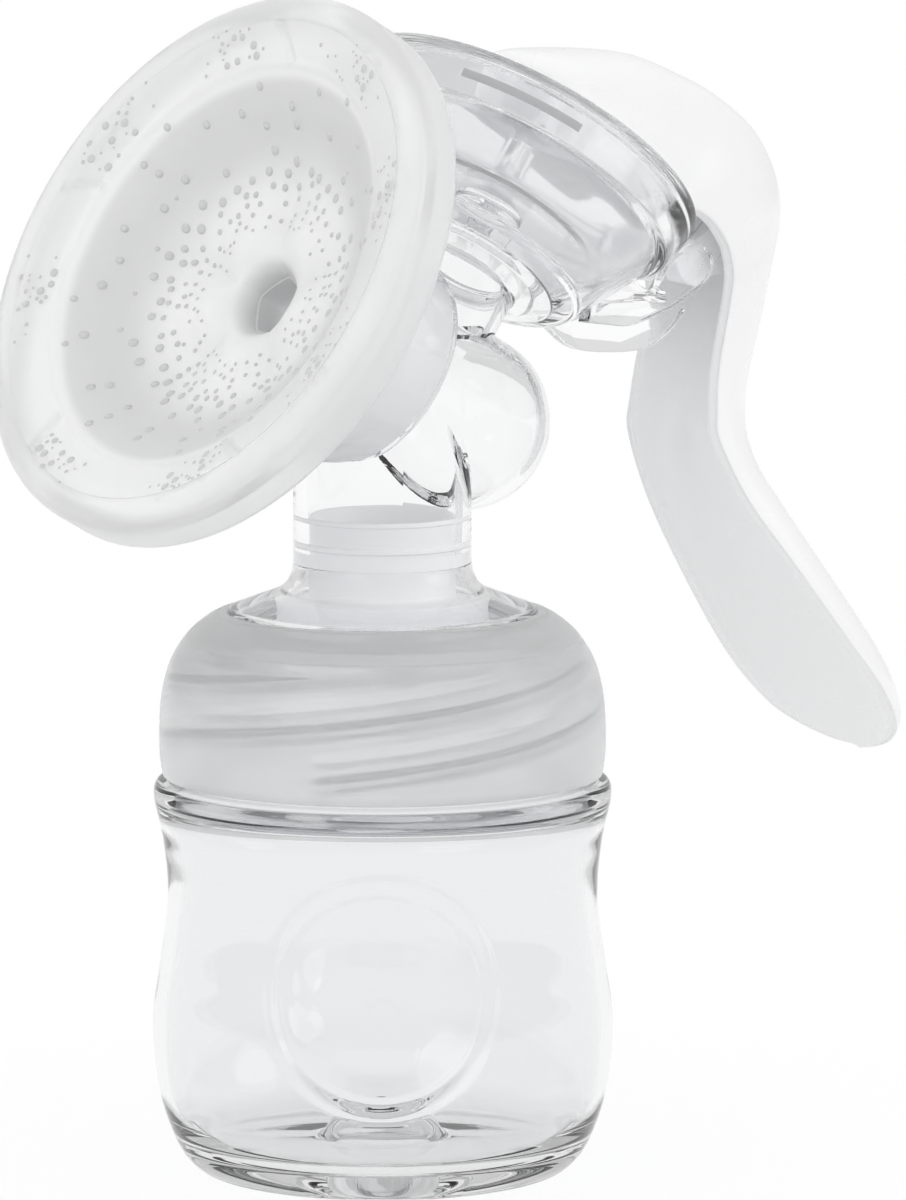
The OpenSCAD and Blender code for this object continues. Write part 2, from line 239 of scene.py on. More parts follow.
def plate(outline, low, high, place=UPRIGHT, edge=0.4):
    """A bmesh: an outline in the local XZ plane, thick from Y = low to high, with rounded edges."""
    bm = bmesh.new()
    near = [bm.verts.new((p[0], low, p[1])) for p in outline]
    far = [bm.verts.new((p[0], high, p[1])) for p in outline]
    bm.faces.new(near)
    bm.faces.new(far[::-1])
    count = len(outline)
    for i in range(count):
        k = (i + 1) % count
        bm.faces.new((near[i], far[i], far[k], near[k]))
    bmesh.ops.recalc_face_normals(bm, faces=bm.faces)
    if edge:
        rims = [e for e in bm.edges if e.verts[0].co.y == e.verts[1].co.y]
        bmesh.ops.bevel(bm, geom=rims, offset=edge, segments=3, affect="EDGES", profile=0.5)
    bm.transform(place)
    return bm


def merged(*parts):
    """One bmesh holding all the given ones."""
    whole = bmesh.new()
    for part in parts:
        mesh = bpy.data.meshes.new("part")
        part.to_mesh(mesh)
        part.free()
        whole.from_mesh(mesh)
        bpy.data.meshes.remove(mesh)
    return whole


def applied(obj):
    """Bakes the object's modifiers into its mesh."""
    graph = bpy.context.evaluated_depsgraph_get()
    graph.update()
    mesh = bpy.data.meshes.new_from_object(obj.evaluated_get(graph))
    old = obj.data
    obj.modifiers.clear()
    obj.data = mesh
    bpy.data.meshes.remove(old)
    return obj


def carve(obj, others, operation):
    """Boolean of the object with each of the others in turn."""
    for other in others:
        step = obj.modifiers.new(operation, "BOOLEAN")
        step.operation = operation
        step.solver = "EXACT"
        step.object = other
        applied(obj)
        mesh = other.data
        bpy.data.objects.remove(other)
        bpy.data.meshes.remove(mesh)
    return obj


def solid(bm):
    """A nameless object to carve with."""
    return piece("solid", bm, None)


def finished(obj, name, material, sharp):
    """Names a carved object and gives it its material and its shading."""
    obj.name = obj.data.name = name
    obj.data.materials.clear()
    obj.data.materials.append(material)
    obj.data.shade_smooth()
    obj.data.set_sharp_from_angle(angle=radians(sharp))
    return obj


def finer(obj):
    """One level of subdivision."""
    step = obj.modifiers.new("finer", "SUBSURF")
    step.levels = step.render_levels = 1
    return applied(obj)


def ring_of_faces(bm, rows):
    """Faces between each row of points and the next, round a closed loop, with both ends capped."""
    for a, b in zip(rows, rows[1:]):
        for i in range(len(a)):
            k = (i + 1) % len(a)
            bm.faces.new((a[i], b[i], b[k], a[k]))
    bm.faces.new(rows[0])
    bm.faces.new(rows[-1][::-1])


def place_on(obj, body, slot, *nodes):
    """The object rides on a body and stands for the given CAD nodes, which are hidden; slot is not used."""
    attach(obj, body)
    if nodes:
        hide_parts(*nodes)
    return obj


# ---- materials ----


class Shader:
    """A short way to write the node tree of a material or a world."""

    def __init__(self, owner):
        owner.use_nodes = True
        self.tree = owner.node_tree
        self.tree.nodes.clear()

    def add(self, kind, inputs=None, **settings):
        """A new node, with its inputs set or linked."""
        node = self.tree.nodes.new("ShaderNode" + kind)
        for key, value in settings.items():
            setattr(node, key, value)
        for key, value in (inputs or {}).items():
            self.feed(node.inputs[key], value)
        return node

    def feed(self, socket, value):
        if isinstance(value, bpy.types.NodeSocket):
            self.tree.links.new(value, socket)
        else:
            socket.default_value = value

    def math(self, operation, a, b=0.0):
        return self.add("Math", {0: a, 1: b}, operation=operation).outputs[0]

    def vector(self, operation, inputs):
        return self.add("VectorMath", inputs, operation=operation).outputs

    def range(self, value, low, high, to_low, to_high):
        """An S-curve from to_low at low to to_high at high."""
        node = self.add(
            "MapRange",
            {"Value": value, "From Min": low, "From Max": high, "To Min": to_low, "To Max": to_high},
            interpolation_type="SMOOTHSTEP",
        )
        return node.outputs[0]

    def spot(self):
        """The shaded point, in the object's metres."""
        return self.add("TexCoord").outputs["Object"]

    def upward(self, vector):
        """Z of a vector."""
        return self.add("SeparateXYZ", {0: vector}).outputs["Z"]

    def facing_up(self):
        """1 on a face that looks up, -1 on one that looks down."""
        return self.upward(self.add("NewGeometry").outputs["Normal"])

    def from_axis(self, centre=(0, 0, 0), along=(0, 0, 1)):
        """Distance of the shaded point from an axis, in metres."""
        spot = self.vector("SUBTRACT", {0: self.spot(), 1: centre})[0]
        reach = self.vector("DOT_PRODUCT", {0: spot, 1: along})["Value"]
        foot = self.vector("SCALE", {0: along, "Scale": reach})[0]
        return self.vector("DISTANCE", {0: spot, 1: foot})["Value"]

    def noise(self, scale, detail=2.0, rough=0.5):
        inputs = {"Vector": self.spot(), "Scale": scale, "Detail": detail, "Roughness": rough}
        return self.add("TexNoise", inputs).outputs["Fac"]

    def bump(self, height, strength, distance, normal=None):
        inputs = {"Height": height, "Strength": strength, "Distance": distance}
        if normal:
            inputs["Normal"] = normal
        return self.add("Bump", inputs).outputs[0]

    def level(self, fac, a, b):
        """A number between a and b."""
        return self.add("Mix", {0: fac, 2: a, 3: b}, data_type="FLOAT").outputs[0]

    def colour(self, fac, a, b):
        """A colour between a and b."""
        return self.add("Mix", {0: fac, 6: a, 7: b}, data_type="RGBA").outputs[2]

    def mix(self, fac, a, b):
        """A shader between a and b."""
        return self.add("MixShader", {0: fac, 1: a, 2: b}).outputs[0]

    def principled(self, colour, rough, normal, **more):
        inputs = {"Base Color": colour, "Roughness": rough, "Normal": normal}
        inputs.update({name.replace("_", " "): value for name, value in more.items()})
        return self.add("BsdfPrincipled", inputs).outputs[0]

    def finish(self, shader):
        self.add("OutputMaterial", {"Surface": shader})

    def light_through(self, shader, tint):
        """Shadow and diffuse rays pass straight through, so that clear pieces don't darken what they hold."""
        path = self.add("LightPath").outputs
        passing = self.math("MAXIMUM", path["Is Shadow Ray"], path["Is Diffuse Ray"])
        clear = self.add("BsdfTransparent", {"Color": tint}).outputs[0]
        return self.mix(passing, shader, clear)


def rgb(value, blue=0.0):
    """A grey, or a slightly bluish one."""
    return (value, value, value + blue, 1.0)


def scatter(weight, metres, scale=1.0):
    """Inputs that let light scatter under the surface."""
    return {"Subsurface_Weight": weight, "Subsurface_Radius": (metres,) * 3, "Subsurface_Scale": scale}


NEAR_CLEAR = (0.97, 0.975, 0.98, 1.0)
BOTTLE_TINT = (0.93, 0.935, 0.94, 1.0)
BODY_TINT = (0.985, 0.987, 0.99, 1.0)
STEM_TINT = (0.96, 0.965, 0.97, 1.0)


def clear_plastic(name, tint, ior, rough, waves, depth, threaded=False):
    """Polished clear moulding: faint flow waves on its faces and a trace of haze.

    On the bottle the thick foot is darker, and the undersides of the thread ribs are darkened with painted
    shade.
    """
    material = bpy.data.materials.new(name)
    s = Shader(material)
    normal = s.bump(s.noise(waves, 2.0, 0.45), 0.35, depth)
    haze = s.range(s.noise(900.0), 0.35, 0.75, rough * 0.5, rough * 1.6)
    if threaded:
        height = s.upward(s.spot())
        # Painted shade: the downward-facing flanks of the neck's thread ribs are darkened
        rib_shade = s.math("GREATER_THAN", s.from_axis(), 0.0249)
        rib_shade = s.math("MULTIPLY", rib_shade, s.range(s.facing_up(), -0.6, 0.1, 1.0, 0.0))
        rib_shade = s.math("MULTIPLY", rib_shade, s.math("GREATER_THAN", height, 0.057))
        tint = s.colour(s.range(height, 0.002, 0.0075, 1.0, 0.0), tint, rgb(0.80))
        tint = s.colour(rib_shade, tint, rgb(0.35))
    glass = s.principled(tint, haze, normal, IOR=ior, Transmission_Weight=1.0)
    s.finish(s.light_through(glass, NEAR_CLEAR))
    return material


def white_plastic(name, base, rough, coat, peel):
    """Opaque white moulding with a fine orange-peel skin and a slight unevenness in its gloss."""
    material = bpy.data.materials.new(name)
    s = Shader(material)
    cloud = s.noise(35.0, 3.0)
    skin = s.bump(s.noise(1400.0), 0.25, peel * 0.12)
    normal = s.bump(s.noise(120.0, 1.0), 0.2, peel, skin)
    colour = s.colour(cloud, rgb(base - 0.012), rgb(base + 0.008, 0.004))
    gloss = s.range(cloud, 0.3, 0.7, rough * 0.85, rough * 1.2)
    glow = scatter(0.12, 0.004, 0.5)
    s.finish(s.principled(colour, gloss, normal, Coat_Weight=coat, Coat_Roughness=0.08, **glow))
    return material


def frosted(name):
    """Frosted translucent moulding: a hazy outer skin, and inside it thread ribs whose undersides carry
    painted shade.

    The crown inside, where the moulding closes over the bottle's neck, carries a little painted shade too.
    """
    material = bpy.data.materials.new(name)
    s = Shader(material)
    cloud = s.noise(60.0, 3.0)
    inside = s.range(s.from_axis(), 0.0272, 0.0278, 1.0, 0.0)
    # Painted shade on the inner faces: the crown band and the downward-facing rib flanks are darkened
    crown = s.range(s.upward(s.spot()), 0.0675, 0.0720, 0.0, 0.33)
    under = s.math("MAXIMUM", s.range(s.facing_up(), -0.65, 0.15, 1.0, 0.0), crown)
    under = s.math("MULTIPLY", under, inside)
    normal = s.bump(s.noise(2600.0, 3.0, 0.7), 0.3, 0.00003)
    haze = s.range(cloud, 0.3, 0.7, 0.19, 0.25)
    through = s.principled(
        s.colour(under, rgb(0.95), rgb(0.55)), haze, normal, IOR=1.38, Transmission_Weight=1.0
    )
    milk = s.colour(cloud, rgb(0.77), rgb(0.83, 0.005))
    body = s.principled(s.colour(under, milk, rgb(0.28)), 0.38, normal, **scatter(0.3, 0.003))
    skin = s.mix(s.range(inside, 0, 1, 0.30, 0.55), through, body)
    s.finish(s.light_through(skin, (0.85, 0.86, 0.87, 1.0)))
    return material


def silicone(name, base, clear, rough, grain=0.00003, funnel=False):
    """Milky silicone: part of the light scatters inside it and part passes, blurred.

    On the funnel the slope and the throat are made greyer with painted shade, and it is clearer on the outer
    band and rim.
    """
    material = bpy.data.materials.new(name)
    s = Shader(material)
    normal = s.bump(s.noise(3200.0, 2.0, 0.6), 0.25, grain)
    colour = s.colour(s.noise(90.0, 3.0), rgb(base - 0.02), rgb(base + 0.01, 0.004))
    milky = 1 - clear
    if funnel:
        away = s.from_axis([v * MM for v in FUNNEL_CENTRE], FUNNEL_AXIS)
        # Painted shade: the slope's valley and the deep throat get a greyer colour
        slope = s.range(away, 0.013, 0.022, 0.0, 1.0)
        slope = s.math("MULTIPLY", slope, s.range(away, 0.0275, 0.0296, 1.0, 0.0))
        colour = s.colour(slope, colour, rgb(base - 0.27))
        colour = s.colour(s.range(away, 0.004, 0.0065, 1.0, 0.0), colour, rgb(base - 0.34))
        milky = s.range(away, 0.0292, 0.0300, milky, milky - 0.28)
    milk = s.principled(
        colour, rough, normal, IOR=1.41, Sheen_Weight=0.15, Sheen_Roughness=0.4, **scatter(0.6, 0.003)
    )
    through = s.principled(NEAR_CLEAR, rough * 0.8, normal, IOR=1.2, Transmission_Weight=1.0)
    s.finish(s.light_through(s.mix(milky, through, milk), rgb(0.72 + 0.2 * clear)))
    return material


BOTTLE_CLEAR = clear_plastic("bottle_clear", BOTTLE_TINT, 1.40, 0.012, 55.0, 0.00025, threaded=True)
BODY_CLEAR = clear_plastic("body_clear", BODY_TINT, 1.34, 0.015, 70.0, 0.0002)
STEM_CLEAR = clear_plastic("stem_clear", STEM_TINT, 1.42, 0.05, 120.0, 0.0001)
RING_FROSTED = frosted("ring_frosted")
VALVE_WHITE = white_plastic("valve_white", base=0.92, rough=0.42, coat=0.0, peel=0.0001)
HANDLE_WHITE = white_plastic("handle_white", base=0.93, rough=0.25, coat=0.15, peel=0.00012)
CUSHION_SILICONE = silicone("cushion_silicone", base=0.97, clear=0.20, rough=0.38, funnel=True)
CUSHION_DOT = silicone("cushion_dot", base=0.60, clear=0.10, rough=0.45)
DIAPHRAGM_SILICONE = silicone("diaphragm_silicone", base=0.93, clear=0.80, rough=0.12, grain=0.000002)
DIAPHRAGM_RIM = clear_plastic("diaphragm_rim_clear", NEAR_CLEAR, 1.38, 0.06, 90.0, 0.00015)
SLOT_GREY = silicone("slot_grey", base=0.35, clear=0.10, rough=0.40)


# ---- threads shared by the bottle's neck and the screw ring ----

THREAD_STARTS = 3
THREAD_LEAD = 21.0
THREAD_ANGLE = 205.0
RIB_HEIGHT = 1.5
# Distance between the mesh's rows, fine enough for a slanting rib to stay smooth
THREAD_ROWS = 0.2
# Height of the lowest rib, half its width, and the angle it runs round
BOTTLE_THREAD = (60.0, 1.1, 240)
RING_THREAD = (57.0, 1.5, 330)


def thread(z, angle, first_z, half, span):
    """Height of the thread's rib at a point, with both ends of each rib tapered."""
    best = 0
    for start in range(THREAD_STARTS):
        along = (angle - THREAD_ANGLE - 360 / THREAD_STARTS * start) % 360
        if along < span:
            ends = smooth(0, 14, along) * (1 - smooth(span - 22, span, along))
            best = max(best, ends * bump(first_z + THREAD_LEAD * along / 360, half, z))
    return RIB_HEIGHT * best


# ---- bottle ----

# The round embossed field on the bottle's front
EMBOSS_ANGLE = 228.4
EMBOSS_Z = 29.0
EMBOSS_R = 17.0
NECK_OUT = 24.8
NECK_IN = 23.0


def emboss(r, z, angle):
    """Change of the bottle's radius: a raised disc with a groove near its edge and a shallow dish."""
    away = math.hypot(radians(turn_gap(angle, EMBOSS_ANGLE)) * r, z - EMBOSS_Z)
    raised = 0.32 * (1 - smooth(EMBOSS_R - 0.9, EMBOSS_R, away))
    groove = 0.26 * bump(EMBOSS_R - 2.6, 0.9, away)
    return raised - groove - 0.18 * (1 - smooth(9.0, 12.5, away))


def build_bottle():
    foot = curve([(0, 5.6), (3.2, 5.4), (5.2, 4.3), (6.6, 2.2), (7.8, 0.5), (9.4, 0)], 5)
    side = even(
        curve(
            [(24, 0), (26.2, 0.6), (28.8, 4), (31.1, 11), (32, 20.3), (31, 28.3), (29.8, 38), (30.4, 46),
             (31.5, 51), (31.7, 53), (31.2, 54.3), (29.7, 54.7)]
        ),
        0.5,
    )
    neck = soft([(25.4, 54.8, 0.6), (NECK_OUT, 55.6), (NECK_OUT, 56.5)])
    neck += even([(NECK_OUT, 57), (NECK_OUT, 71.8)], THREAD_ROWS)
    neck += soft([(NECK_OUT, 72.9, 0.5), (NECK_IN, 72.9, 0.5), (NECK_IN, 71)])[:-1]
    inside = curve(
        [(NECK_IN, 71), (NECK_IN, 56.2), (24.2, 54.4), (28, 52.6), (29.6, 50.4), (28.7, 45), (28, 38),
         (29.2, 28.3), (30.2, 20.3), (29.5, 11.5), (27.8, 6.8), (25, 4.5), (21, 4)],
        7,
    )
    boss = curve([(11.5, 4), (9.3, 4.1), (8.2, 5), (7.1, 7), (5.6, 8.7), (3.2, 9.3), (0, 9.4)], 5)
    profile = foot + side + neck + inside + boss
    first_side, last_side = len(foot), len(foot) + len(side)

    def relief(r, z, angle, row):
        if first_side <= row < last_side and 8 < z < 50:
            r += emboss(r, z, angle)
        elif row >= last_side and r > NECK_IN + 1 and 57 < z < 72:
            r += thread(z, angle, *BOTTLE_THREAD)
        return r, z

    # Columns are closer together across the embossed field
    angles, a = [], 0.0
    while a < 359.9:
        angles.append(a)
        a += 0.8 if abs(turn_gap(a, EMBOSS_ANGLE)) < 36 else 2.0
    bottle = piece("bottle_shell", turned(profile, UPRIGHT, angles, relief), BOTTLE_CLEAR)
    return place_on(bottle, "bottle", "bottle_clear", "bottle")


# ---- screw ring ----


def build_ring():
    outside = even(
        curve(
            [(30.4, 55.2), (30.8, 57.5), (30.9, 61), (30.6, 66), (29.4, 70.8), (27.1, 74.5), (24.6, 76.7),
             (23, 77.6)]
        ),
        0.55,
    )
    top = soft([(22.3, 77.9, 0.5), (21.3, 77.8, 0.6), (21.3, 75.1, 0.3), (25.7, 75.05, 0.4), (26, 73, 0.5)])
    bore = even([(27.2, 71.5), (27.2, 56)], THREAD_ROWS)
    foot = soft([(27.2, 55.1, 0.5), (30.2, 55.05, 0.5)])
    profile = outside + top + bore + foot
    first_bore = len(outside) + len(top)

    def relief(r, z, angle, row):
        if first_bore <= row < first_bore + len(bore):
            r -= thread(z, angle, *RING_THREAD)
        return r, z

    ring = piece("ring_shell", turned(profile, UPRIGHT, 300, relief), RING_FROSTED, 50)
    return place_on(ring, "screw_ring", "ring_frosted", "screw_ring")


# ---- clear pump body ----

# Wall of the clear moulding
SHELL = 1.6
# The domed chamber behind the funnel: its radius, wall, and where its dome starts
CHAMBER_R = 12.5
CHAMBER_WALL = 1.5
CHAMBER_END = 50.0
# The funnel's cone, from its mouth to its throat: radius, and depth where the cone ends
MOUTH_R = 38.2
CONE_START = 1.2
CONE_END_R = 16.2
CONE_END = 19.6
# Socket for the cushion's sleeve
SOCKET_R = 15.05
SOCKET_END = 31.6


def dome(radius, centre, steps=14):
    """Quarter circle from the wall to the axis."""
    angles = [radians(90 * i / steps) for i in range(steps + 1)]
    return [(radius * math.cos(a), centre + radius * math.sin(a)) for a in angles]


def neck_solids():
    """The neck with its flange and shoulder, and what is cut out of it. Both reach into the chamber."""
    outside = soft(
        [(0, 73.1), (25.4, 73.1, 0.4), (25.4, 74.9, 0.4), (21.2, 74.9, 0.2), (21.2, 78.35, 0.7), (17.5, 79.7)]
    )
    outside += curve([(15.6, 80.4), (14.1, 81.1), (13, 82.3), (12.45, 83.8), (12.3, 85.6)], 5)
    outside += [(12.3, 98), (12.3, 110.9), (0, 110.9)]
    inside = soft(
        [(0, 71), (19.6, 71), (19.6, 76.7, 0.6), (15.2, 79.1, 0.5), (12.7, 80.2, 1.0), (11, 82.2, 1.0),
         (10.3, 84.5, 0.5)]
    )
    inside += [(10.3, 90), (10.3, 111), (0, 111)]
    return turned(outside, UPRIGHT, 192), turned(inside, UPRIGHT, 192)


def funnel_solids():
    """The funnel with its throat and chamber, and what is cut out of them."""
    outside = soft([(0, 0.2), (MOUTH_R, 0.2, 0.3), (MOUTH_R, CONE_START, 0.3)])
    outside += curve([(37.2, 2.0), (30, 8.0), (22, 14.7), (17.6, 18.5), (16.25, 20.4), (16, 22.5)], 6)
    outside += soft([(16, 28), (16, 31.4, 0.8), (12.6, 33.4, 0.8), (CHAMBER_R, 40)])
    outside += dome(CHAMBER_R, CHAMBER_END)
    slope = (MOUTH_R - CONE_END_R) / (CONE_END - CONE_START)
    wall = SHELL * math.hypot(1, slope)
    inner_end = CONE_END - (SOCKET_R + wall - CONE_END_R) / slope
    inside = soft(
        [(0, -3), (36.6, -3), (36.6, 0.2), (MOUTH_R - wall, CONE_START, 0.2), (SOCKET_R, inner_end, 1.5)]
    )
    inside += soft([(SOCKET_R, 24), (SOCKET_R, SOCKET_END, 0.3), (11, SOCKET_END, 0.3), (11, 40)])
    inside += dome(CHAMBER_R - CHAMBER_WALL, CHAMBER_END)
    return turned(outside, ON_FUNNEL, 224), turned(inside, ON_FUNNEL, 224)


def bowl_solids():
    """The diaphragm's bowl with its air passage, and what is cut out of them."""
    outside = soft(
        [(0, -35.9), (9, -35.9), (9, -22.6, 0.6), (12, -21.9, 0.8), (15.8, -21.1, 1.2), (18, -19.2, 1.0)]
    )
    outside += soft([(20.6, -14), (23.3, -9, 1.0), (24.9, -7.2, 0.8), (24.9, -1.3, 0.3), (0, -1.3)])
    inside = soft([(0, -34.9), (7.4, -34.9), (7.4, -20.6, 0.7), (11.6, -20.3, 0.4), (14.6, -19.7, 0.8)])
    inside += soft([(16.5, -18.6, 1.0), (21.7, -9.2, 0.9), (23.3, -7, 0.7), (23.3, 1), (0, 1)])
    return turned(outside, ON_BOWL, 208), turned(inside, ON_BOWL, 208)


def clip_solids():
    """At the low side of the bowl: two ears with the pin between them, a floor, and the guard's thin fin."""
    ear = soft(
        [(18, -15), (21.8, -8), (27.4, -7.4, 0.4), (27.4, -1.5, 1.2), (30.6, 3.8, 1.6), (34.6, 3.4, 1.8),
         (35.2, 0, 1.6), (31.8, -6.6, 2.0), (26.4, -13.5, 2.5), (19, -17.5)]
    )
    floor = soft(
        [(18, -15), (21.8, -8), (27.4, -7.4, 0.4), (29.8, -5, 0.6), (31.2, -6.2, 0.8), (22, -12.4)]
    )
    guard = [(17, -17.5)]
    guard += curve([(18.5, -18.9), (24.4, -18.7), (30, -15.9), (36, -11.4), (38.6, -7), (39.4, -2.6)], 6)
    guard += soft([(37.6, -3.4, 0.6), (33, -5.6), (25, -9.5), (20, -12)])
    pin = [(0, -6.6), (1.5, -6.6), (1.5, 6.6), (0, 6.6)]
    return [
        plate(ear, 5.4, 7.8, ON_BOWL, 0.5),
        plate(ear, -7.8, -5.4, ON_BOWL, 0.5),
        plate(floor, -7.75, 7.75, ON_BOWL, 0),
        plate(guard, -1, 1, ON_BOWL, 0.3),
        turned(pin, leaning(PIVOT, BOWL_AXIS) @ LAID_DOWN, 32),
    ]


def build_body():
    """One clear moulding: everything outside is joined first, and then everything inside is cut out."""
    neck, neck_bore = neck_solids()
    funnel, funnel_bore = funnel_solids()
    bowl, bowl_bore = bowl_solids()
    body = solid(neck)
    carve(body, [solid(part) for part in [funnel, bowl] + clip_solids()], "UNION")
    carve(body, [solid(part) for part in (neck_bore, funnel_bore, bowl_bore)], "DIFFERENCE")
    finished(body, "body_shell", BODY_CLEAR, 32)
    place_on(body, "pump", "body_clear", "pump_body")


# ---- one-way valve ----


def build_valve():
    """A cup with a flange and two sealing lips, and under it the duckbill's two flaps."""
    outside = soft(
        [(6.6, 71.2, 0.3), (8.4, 71.2, 0.4), (8.7, 73.5, 0.3), (14.8, 73.6, 0.5), (14.8, 79.1, 0.5),
         (10.5, 79.15, 0.4), (10.1, 80), (10.1, 86.6), (10.45, 86.8, 0.1), (10.45, 87.4, 0.1), (10.1, 87.6),
         (10.1, 90.3), (10.45, 90.5, 0.1), (10.45, 91.1, 0.2), (9.7, 91.1, 0.2)]
    )
    inside = soft([(8.9, 89.4), (8.9, 82.5, 1.0), (7, 79.2, 1.0), (7, 71.3)])
    valve = piece("valve_cup", turned(outside + inside, UPRIGHT, 160), VALVE_WHITE)
    place_on(valve, "pump", "valve_white", "valve_body")
    for side, name in ((-1, "left"), (1, "right")):
        lip = [(7.5, 71.1, 0.3), (6.1, 71.1, 0.3), (0.12, 60.1, 0.15), (1.0, 60.1, 0.25)]
        lip = soft([(side * x, z, cut) for x, z, cut in lip])
        flap = piece("valve_flap_" + name, plate(lip, -6.4, 6.4, UPRIGHT, 0.3), VALVE_WHITE)
        place_on(flap, "valve_flap_" + name, "valve_white", "valve_lip_" + name)


# ---- massage cushion ----

LOBES = 5
LOBE_TURN = 360 / LOBES
FIRST_CREASE = 2.0
# Radius where the outer band starts
BAND_R = 29.6
SHEET = 1.0
# Depths along the funnel's axis between which the lobes and the throat flex
CONE_FLEX = (2, 11)
THROAT_FLEX = (13, 22)


def lobe(turn):
    """0 in the crease between two lobes, 1 on the back of a lobe."""
    return abs(math.sin(radians((turn - FIRST_CREASE) * LOBES / 2)))


def cushion_relief(r, s, angle):
    """Relief of the cushion's face, as (change of radius, change of distance along the axis)."""
    turn = 180 - angle
    # Outer band: raised, with a bead at its inner edge and one slanting crease for each lobe
    band = 0.32 * smooth(BAND_R - 0.45, BAND_R + 0.45, r) * (1 - smooth(36.2, 37.6, r))
    bead = 0.22 * bump(BAND_R + 0.2, 0.7, r)
    crease_turn = FIRST_CREASE + 1.1 * (r - 33)
    near = min(abs(turn_gap(turn, crease_turn + LOBE_TURN * k)) for k in range(LOBES)) * radians(1) * r
    crease = 0.6 * (1 - smooth(0.25, 1.0, near)) * smooth(29.8, 30.6, r) * (1 - smooth(35.8, 37.2, r))
    # Slope: the lobes swell, and fade out towards the band
    swell = 1.7 * smooth(5.2, 9, r) * (1 - smooth(14.5, 20, r)) * (lobe(turn) - 0.55)
    fade = 0.35 * (1 - smooth(18.5, 27.5, r)) * smooth(15, 20, r) * (lobe(turn) - 0.5)
    # Throat: the lobes narrow it
    r_move = 0.0
    if r < 9 and s > 8:
        r_move = -0.5 * (lobe(turn) - 0.5) * (1 - smooth(17, 22, s)) * smooth(8, 11, s)
    return r_move, crease - band - bead - swell - fade


CONE_FACE = curve(
    [(35.4, -3.1), (31, -1.5), (28, 0), (25, 2.2), (22, 4.7), (19, 6.4), (15.8, 7.7), (12.4, 8.4), (9.2, 8.5),
     (6, 9.5), (4.5, 12), (4.35, 13.4)],
    8,
)
THROAT_FACE = curve([(5.0, 12.4), (5.6, 16), (7.3, 19.5), (9.5, 22.2), (10.4, 24)], 6)


def face_point(r, turn):
    """Point of the cushion's front face at a radius and an angle from the top, and its outward normal."""

    def at(radius, turn):
        for a, b in zip(CONE_FACE, CONE_FACE[1:]):
            if a.x >= radius >= b.x:
                s = a.y + (b.y - a.y) * (a.x - radius) / (a.x - b.x or 1)
                break
        else:
            s = CONE_FACE[0].y if radius > BAND_R else CONE_FACE[-1].y
        angle = 180 - turn
        dr, ds = cushion_relief(radius, s, angle)
        return Vector((
            (radius + dr) * math.cos(radians(angle)),
            (radius + dr) * math.sin(radians(angle)),
            s + ds,
        ))

    along = at(r - 0.3, turn) - at(r + 0.3, turn)
    around = at(r, turn + 0.5) - at(r, turn - 0.5)
    normal = along.cross(around).normalized()
    if normal.z > 0:
        normal = -normal
    return at(r, turn), normal


def flexing(obj, from_body, to_body, depths, *nodes):
    """Bakes the object's placement into its mesh and hides the given CAD nodes; from_body, to_body and depths
    are not used.
    """
    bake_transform(obj)
    if nodes:
        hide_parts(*nodes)


def build_cone():
    """The part that is seen: the rim hooked over the funnel, the outer band and the lobed slope."""
    bulge = [radians(a) for a in range(225, 361, 9)]
    rim = [(37.1 + 2.4 * math.cos(a), -1.6 + 2.4 * math.sin(a)) for a in bulge]
    hook = soft(
        [(39.5, 0), (39.5, 3.8, 0.5), (38.9, 4.5, 0.4), (38.45, 3.8, 0.3), (38.4, 0.3, 0.4), (36, -0.3, 0.8)]
    )
    face = even(CONE_FACE, 0.42)
    back = even(beside(CONE_FACE, SHEET)[3:], 0.9)

    def relief(r, s, angle, row):
        dr, ds = cushion_relief(r, s, angle)
        share = 1.0 if row < len(face) else 0.75
        if row >= len(face) and (r > 28.5 or s < -0.5):
            share = 0.0
        return r + dr * share, s + ds * share

    profile = face[::-1] + rim + hook + back
    cone = piece("cushion_cone", turned(profile, ON_FUNNEL, 480, relief), CUSHION_SILICONE, 60)
    flexing(cone, "cushion", "petals", CONE_FLEX, "cushion_rim")


def build_throat():
    """The narrow tube behind the lobes, and the thick cuff that seals in the funnel's throat."""
    inner = even(THROAT_FACE, 0.8)
    outer = beside(inner, -SHEET)

    def relief(r, s, angle, row):
        return r + cushion_relief(min(r, 8.9), s, angle)[0], s

    throat = turned(inner + outer[::-1], ON_FUNNEL, 160, relief)
    throat = piece("cushion_throat", throat, CUSHION_SILICONE, 60)
    flexing(throat, "petals", "cushion", THROAT_FLEX, "cushion_petals")

    sleeve = soft(
        [(10.5, 24, 0.4), (11, 22.9, 0.5), (14, 22.8, 0.8), (14.9, 23.8, 0.6), (14.9, 26), (14.6, 26.6),
         (14.6, 27.6), (14.9, 28.2), (14.9, 31.3, 0.6), (10.5, 31.4, 0.6)]
    )
    cuff = piece("cushion_cuff", turned(sleeve, ON_FUNNEL, 160), CUSHION_SILICONE)
    place_on(cuff, "cushion", "cushion_silicone", "cushion_sleeve")


DOT_RINGS = 3
DOT_TICKS = 14
DOT_SINK = 0.25
DOT_GAP = 0.25


